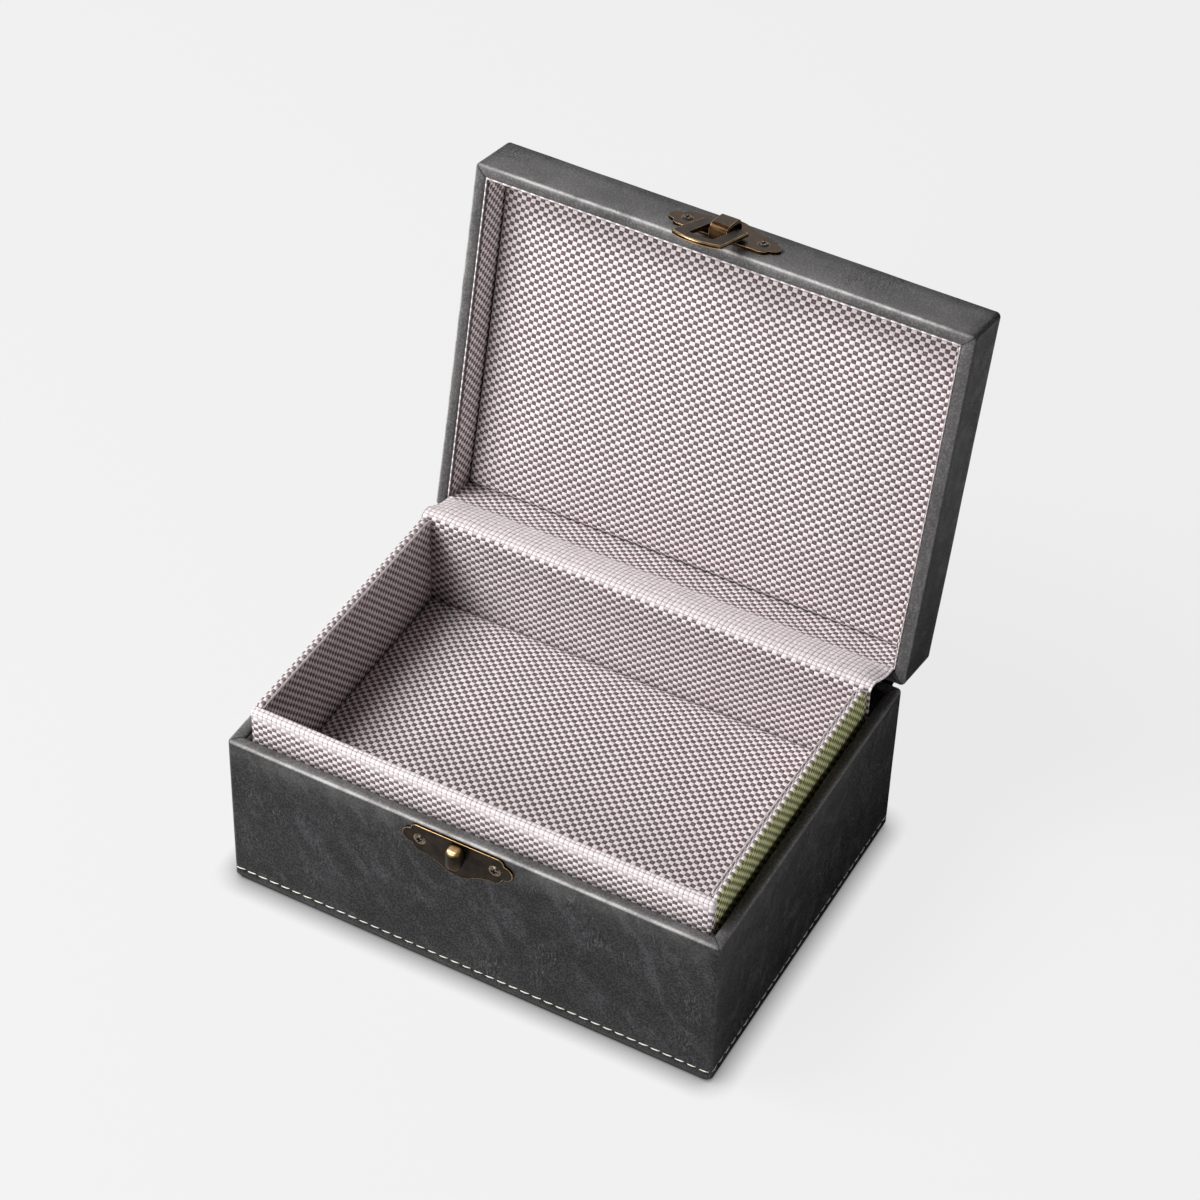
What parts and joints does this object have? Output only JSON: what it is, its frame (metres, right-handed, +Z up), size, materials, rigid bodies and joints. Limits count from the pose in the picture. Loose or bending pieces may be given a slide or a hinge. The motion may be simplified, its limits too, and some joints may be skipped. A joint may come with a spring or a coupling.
{
  "type": "faraday key box",
  "caption": "Leather-wrapped signal-blocking key box with a padded fabric lining, a cloth-hinged lid and a brass loop latch.",
  "frame": {"origin": "middle of the base's underside, on the surface that the box stands on", "axes": "+Z up; +X along the hinge and the front's width; the latch faces -Y and the hinge lies at +Y"},
  "size_m": [0.136, 0.1414, 0.1556],
  "materials": {
    "board": "raw fibreboard",
    "leather": "distressed grey artificial leather",
    "underside": "thin dark artificial leather",
    "lining": "two-tone basket weave",
    "foil": "dull foil",
    "foam": "open-cell foam",
    "bronze": "antique bronze with rubbed edges",
    "screw_steel": "nickel plated"
  },
  "bodies": {
    "base": {"base_front_board": "board", "base_back_board": "board", "base_left_board": "board", "base_right_board": "board", "base_floor_board": "board", "base_wrap": "leather", "base_bottom_cover": "underside", "base_shield": "foil", "liner_front": "lining", "liner_back": "lining", "liner_left": "lining", "liner_right": "lining", "floor_riser": "foam", "floor_card": "board", "floor_pad": "lining", "catch_plate": "bronze", "catch_post": "bronze", "catch_screws": "screw_steel", "hinge_leather": "leather", "hinge_cloth": "lining"},
    "lid": {"lid_top_board": "board", "lid_front_board": "board", "lid_back_board": "board", "lid_left_board": "board", "lid_right_board": "board", "lid_wrap": "leather", "lid_shield": "foil", "lid_card": "board", "lid_pad": "lining", "lid_liner_front": "lining", "lid_liner_left": "lining", "lid_liner_right": "lining", "hasp_plate": "bronze", "hasp_screws": "screw_steel"},
    "hasp": {"hasp_loop": "bronze"}
  },
  "joints": [
    {"name": "lid_hinge", "type": "hinge", "parent": "base", "child": "lid", "pos_m": [0, 0.05, 0.049], "axis": [1, 0, 0], "range_deg": [0, 102], "deforming": ["hinge_leather", "hinge_cloth"]},
    {"name": "hasp_pivot", "type": "hinge", "parent": "lid", "child": "hasp", "pos_m": [-0.0022, 0.07805, 0.14732], "axis": [-1, 0, 0], "range_deg": [-11.5, 150]}
  ]
}
